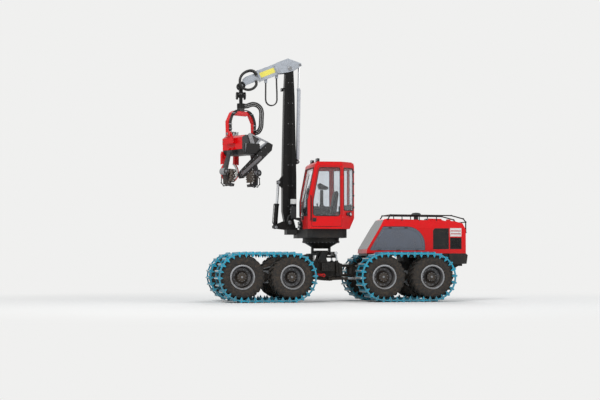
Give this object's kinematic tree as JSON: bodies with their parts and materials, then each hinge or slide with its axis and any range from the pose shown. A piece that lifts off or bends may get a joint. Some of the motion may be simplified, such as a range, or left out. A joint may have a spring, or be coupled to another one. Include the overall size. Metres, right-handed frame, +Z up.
{
  "type": "forestry harvester",
  "caption": "Forestry harvester on tracked bogies, with a levelled turntable for cab and crane, an articulated rear frame, and a felling and delimbing head.",
  "frame": {"origin": "middle of the machine's length and width, on the floor under the tracks", "axes": "+X forward to the front bogies and the crane, +Y to the left, +Z up"},
  "size_m": [7.9, 2.83, 7.5199],
  "materials": {
    "frame_black": "satin",
    "arm_black": "satin",
    "case_black": "satin",
    "track_steel": "satin",
    "tyre_rubber": "matte",
    "cylinder_black": "gloss",
    "cylinder_red": "gloss",
    "cylinder_grey": "gloss",
    "rod_chrome": "gloss",
    "red_paint": "gloss",
    "panel_grey": "gloss",
    "rail_black": "satin",
    "intake_black": "matte",
    "engine_iron": "satin",
    "boom_black": "gloss",
    "boom_silver": "gloss",
    "glass": "gloss",
    "seat_cloth": "matte",
    "head_grey": "satin",
    "roller_steel": "satin",
    "saw_steel": "satin",
    "hose_rubber": "satin"
  },
  "bodies": {
    "mid_frame": {"mid_frame": "frame_black"},
    "front_arm": {"front_arm": "arm_black"},
    "arm_barrels": {"arm_barrels": "cylinder_red"},
    "arm_rods": {"arm_rods": "rod_chrome"},
    "bogie_fl": {"bogie_fl": "case_black", "tyres_fl": "tyre_rubber", "track_fl": "track_steel"},
    "bogie_fr": {"bogie_fr": "case_black", "tyres_fr": "tyre_rubber", "track_fr": "track_steel"},
    "bogie_rl": {"bogie_rl": "case_black", "tyres_rl": "tyre_rubber", "track_rl": "track_steel"},
    "bogie_rr": {"bogie_rr": "case_black", "tyres_rr": "tyre_rubber", "track_rr": "track_steel"},
    "joint_block": {"joint_block": "frame_black"},
    "steer_barrel_l": {"steer_barrel_l": "cylinder_black"},
    "steer_barrel_r": {"steer_barrel_r": "cylinder_black"},
    "steer_rod_l": {"steer_rod_l": "rod_chrome"},
    "steer_rod_r": {"steer_rod_r": "rod_chrome"},
    "rear_frame": {"rear_frame": "frame_black", "engine_block": "engine_iron", "hood_shell": "red_paint", "hood_panels": "panel_grey", "hood_rail": "rail_black", "intake": "intake_black"},
    "level_yoke": {"level_yoke": "frame_black"},
    "level_barrels": {"level_barrels": "cylinder_black"},
    "level_rods": {"level_rods": "rod_chrome"},
    "slew_ring": {"slew_ring": "frame_black"},
    "platform": {"platform": "frame_black", "cab_shell": "red_paint", "cab_glass": "glass", "cab_seat": "seat_cloth", "crane_base": "boom_black"},
    "cab_door": {"cab_door": "red_paint", "door_glass": "glass"},
    "lift_barrel": {"lift_barrel": "cylinder_black"},
    "lift_rod": {"lift_rod": "rod_chrome"},
    "main_boom": {"main_boom": "boom_black"},
    "stick_barrel": {"stick_barrel": "cylinder_grey"},
    "stick_rod": {"stick_rod": "rod_chrome"},
    "outer_boom": {"outer_boom": "boom_silver", "hose_loop": "hose_rubber"},
    "extension": {"extension": "boom_silver"},
    "tip_link": {"tip_link": "boom_black"},
    "swing_link": {"swing_link": "boom_black"},
    "rotator": {"rotator": "head_grey", "head_yoke": "red_paint", "hose_head": "hose_rubber"},
    "head_body": {"head_body": "head_grey"},
    "knife_l": {"knife_l": "red_paint"},
    "knife_r": {"knife_r": "red_paint"},
    "feed_arm_l": {"feed_arm_l": "head_grey"},
    "feed_arm_r": {"feed_arm_r": "head_grey"},
    "roller_l": {"roller_l": "roller_steel"},
    "roller_r": {"roller_r": "roller_steel"},
    "saw_bar": {"saw_bar": "saw_steel"}
  },
  "joints": [
    {"name": "arm_pitch", "type": "hinge", "parent": "mid_frame", "child": "front_arm", "pos_m": [1.135, 0, 1.28], "axis": [0, 1, 0], "range_deg": [-12, 12]},
    {"name": "arm_barrel_swing", "type": "hinge", "parent": "mid_frame", "child": "arm_barrels", "pos_m": [0.56, 0, 0.8], "axis": [0, 1, 0], "range_deg": [-2.93, 2.93]},
    {"name": "arm_rod_slide", "type": "slide", "parent": "arm_barrels", "child": "arm_rods", "axis": [0.9926, 0, 0.1211], "range_m": [-0.087, 0.087]},
    {"name": "bogie_fl_pitch", "type": "hinge", "parent": "front_arm", "child": "bogie_fl", "pos_m": [2.445, 0, 0.755], "axis": [0, -1, 0], "range_deg": [-15, 15]},
    {"name": "bogie_fr_pitch", "type": "hinge", "parent": "front_arm", "child": "bogie_fr", "pos_m": [2.445, 0, 0.755], "axis": [0, -1, 0], "range_deg": [-15, 15]},
    {"name": "steer", "type": "hinge", "parent": "mid_frame", "child": "joint_block", "pos_m": [-0.38, 0, 0.945], "axis": [0, 0, -1], "range_deg": [-38, 38]},
    {"name": "steer_l_barrel_swing", "type": "hinge", "parent": "mid_frame", "child": "steer_barrel_l", "pos_m": [0.37, 0.37, 0.7], "axis": [0, 0, 1], "range_deg": [-5.2, 5.2]},
    {"name": "steer_l_rod_slide", "type": "slide", "parent": "steer_barrel_l", "child": "steer_rod_l", "axis": [-0.9984, -0.0561, 0], "range_m": [-0.2158, 0.2158]},
    {"name": "steer_r_barrel_swing", "type": "hinge", "parent": "mid_frame", "child": "steer_barrel_r", "pos_m": [0.37, -0.37, 0.7], "axis": [0, 0, 1], "range_deg": [-5.2, 5.2]},
    {"name": "steer_r_rod_slide", "type": "slide", "parent": "steer_barrel_r", "child": "steer_rod_r", "axis": [-0.9984, 0.0561, 0], "range_m": [-0.2158, 0.2158]},
    {"name": "frame_roll", "type": "hinge", "parent": "joint_block", "child": "rear_frame", "pos_m": [-0.68, 0, 0.945], "axis": [1, 0, 0], "range_deg": [-14, 14]},
    {"name": "bogie_rl_pitch", "type": "hinge", "parent": "rear_frame", "child": "bogie_rl", "pos_m": [-1.855, 0, 0.755], "axis": [0, 1, 0], "range_deg": [-15, 15]},
    {"name": "bogie_rr_pitch", "type": "hinge", "parent": "rear_frame", "child": "bogie_rr", "pos_m": [-1.855, 0, 0.755], "axis": [0, 1, 0], "range_deg": [-15, 15]},
    {"name": "level_pitch", "type": "hinge", "parent": "mid_frame", "child": "level_yoke", "pos_m": [0.565, 0, 1.48], "axis": [0, 1, 0], "range_deg": [-15, 25]},
    {"name": "level_barrel_swing", "type": "hinge", "parent": "mid_frame", "child": "level_barrels", "pos_m": [0.12, 0, 0.82], "axis": [0, 1, 0], "range_deg": [-0.17, 0.27]},
    {"name": "level_rod_slide", "type": "slide", "parent": "level_barrels", "child": "level_rods", "axis": [0.068, 0, 0.9977], "range_m": [-0.1048, 0.1746]},
    {"name": "level_roll", "type": "hinge", "parent": "level_yoke", "child": "slew_ring", "pos_m": [0.565, 0, 1.48], "axis": [1, 0, 0], "range_deg": [-15, 15]},
    {"name": "slew", "type": "hinge", "parent": "slew_ring", "child": "platform", "pos_m": [0.565, 0, 1.84], "axis": [0, 0, 1], "continuous": true},
    {"name": "cab_door_hinge", "type": "hinge", "parent": "platform", "child": "cab_door", "pos_m": [0.13, 1.066, 2.2], "axis": [0, 0, 1], "range_deg": [0, 85]},
    {"name": "boom_lift", "type": "hinge", "parent": "platform", "child": "main_boom", "pos_m": [1.465, -0.55, 2.42], "axis": [0, 1, 0], "range_deg": [-5, 60]},
    {"name": "lift_barrel_swing", "type": "hinge", "parent": "platform", "child": "lift_barrel", "pos_m": [1.895, -0.55, 2.28], "axis": [0, 1, 0], "range_deg": [-5.21, 62.37]},
    {"name": "lift_rod_slide", "type": "slide", "parent": "lift_barrel", "child": "lift_rod", "axis": [-0.0718, 0, 0.9974], "range_m": [-0.46, 0.0384]},
    {"name": "stick_swing", "type": "hinge", "parent": "main_boom", "child": "outer_boom", "pos_m": [1.465, -0.55, 7.21], "axis": [0, -1, 0], "range_deg": [-5, 65]},
    {"name": "stick_barrel_swing", "type": "hinge", "parent": "main_boom", "child": "stick_barrel", "pos_m": [1.2, -0.55, 4.31], "axis": [0, 1, 0], "range_deg": [-0.07, 0.8]},
    {"name": "stick_rod_slide", "type": "slide", "parent": "stick_barrel", "child": "stick_rod", "axis": [-0.0179, 0, 0.9998], "range_m": [-0.37, 0.0286]},
    {"name": "boom_extend", "type": "slide", "parent": "outer_boom", "child": "extension", "axis": [0.9272, 0, -0.3746], "range_m": [0, 0.55]},
    {"name": "tip_swing", "type": "hinge", "parent": "extension", "child": "tip_link", "pos_m": [2.97476, -0.55, 6.63561], "axis": [0, 1, 0], "range_deg": [-60, 5]},
    {"name": "side_swing", "type": "hinge", "parent": "tip_link", "child": "swing_link", "pos_m": [2.97476, -0.55, 6.33561], "axis": [1, 0, 0], "range_deg": [-35, 35]},
    {"name": "rotator_turn", "type": "hinge", "parent": "swing_link", "child": "rotator", "pos_m": [2.97476, -0.55, 5.94061], "axis": [0, 0, 1], "continuous": true},
    {"name": "head_tilt", "type": "hinge", "parent": "rotator", "child": "head_body", "pos_m": [2.97476, -0.55, 5.13061], "axis": [-0.866, -0.5, 0], "range_deg": [-10, 95]},
    {"name": "knife_l_swing", "type": "hinge", "parent": "head_body", "child": "knife_l", "pos_m": [3.04192, -1.14631, 4.57061], "axis": [-0.5, 0.866, 0], "range_deg": [-3, 45]},
    {"name": "knife_r_swing", "type": "hinge", "parent": "head_body", "child": "knife_r", "pos_m": [3.45761, -0.90631, 4.57061], "axis": [-0.5, 0.866, 0], "range_deg": [-45.01, 3.01]},
    {"name": "feed_l_swing", "type": "hinge", "parent": "head_body", "child": "feed_arm_l", "pos_m": [2.62835, -0.75, 4.57061], "axis": [-0.5, 0.866, 0], "range_deg": [-8, 30]},
    {"name": "feed_r_swing", "type": "hinge", "parent": "head_body", "child": "feed_arm_r", "pos_m": [3.32117, -0.35, 4.57061], "axis": [-0.5, 0.866, 0], "range_deg": [-30.01, 8.01]},
    {"name": "roller_l_turn", "type": "hinge", "parent": "feed_arm_l", "child": "roller_l", "pos_m": [2.65434, -0.735, 3.87061], "axis": [0.1205, 0.0696, 0.9903], "continuous": true},
    {"name": "roller_r_turn", "type": "hinge", "parent": "feed_arm_r", "child": "roller_r", "pos_m": [3.29519, -0.365, 3.87061], "axis": [-0.1205, -0.0696, 0.9903], "continuous": true},
    {"name": "saw_swing", "type": "hinge", "parent": "head_body", "child": "saw_bar", "pos_m": [3.06148, 0.19981, 3.84061], "axis": [0.5, -0.866, 0], "range_deg": [0, 100]}
  ],
  "couplings": [
    {"joint": "arm_barrel_swing", "follows": "arm_pitch", "ratio": 0.2389},
    {"joint": "arm_rod_slide", "follows": "arm_pitch", "m_per_rad": -0.4066},
    {"joint": "steer_l_barrel_swing", "follows": "steer", "ratio": -0.1338},
    {"joint": "steer_l_rod_slide", "follows": "steer", "m_per_rad": -0.3188},
    {"joint": "steer_r_barrel_swing", "follows": "steer", "ratio": -0.1338},
    {"joint": "steer_r_rod_slide", "follows": "steer", "m_per_rad": 0.3188},
    {"joint": "level_barrel_swing", "follows": "level_pitch", "ratio": 0.0103},
    {"joint": "level_rod_slide", "follows": "level_pitch", "m_per_rad": 0.392},
    {"joint": "lift_barrel_swing", "follows": "boom_lift", "ratio": 1.019},
    {"joint": "lift_rod_slide", "follows": "boom_lift", "m_per_rad": -0.4306},
    {"joint": "stick_barrel_swing", "follows": "stick_swing", "ratio": 0.0119},
    {"joint": "stick_rod_slide", "follows": "stick_swing", "m_per_rad": -0.3197},
    {"joint": "knife_r_swing", "follows": "knife_l_swing", "ratio": -1},
    {"joint": "feed_r_swing", "follows": "feed_l_swing", "ratio": -1}
  ]
}
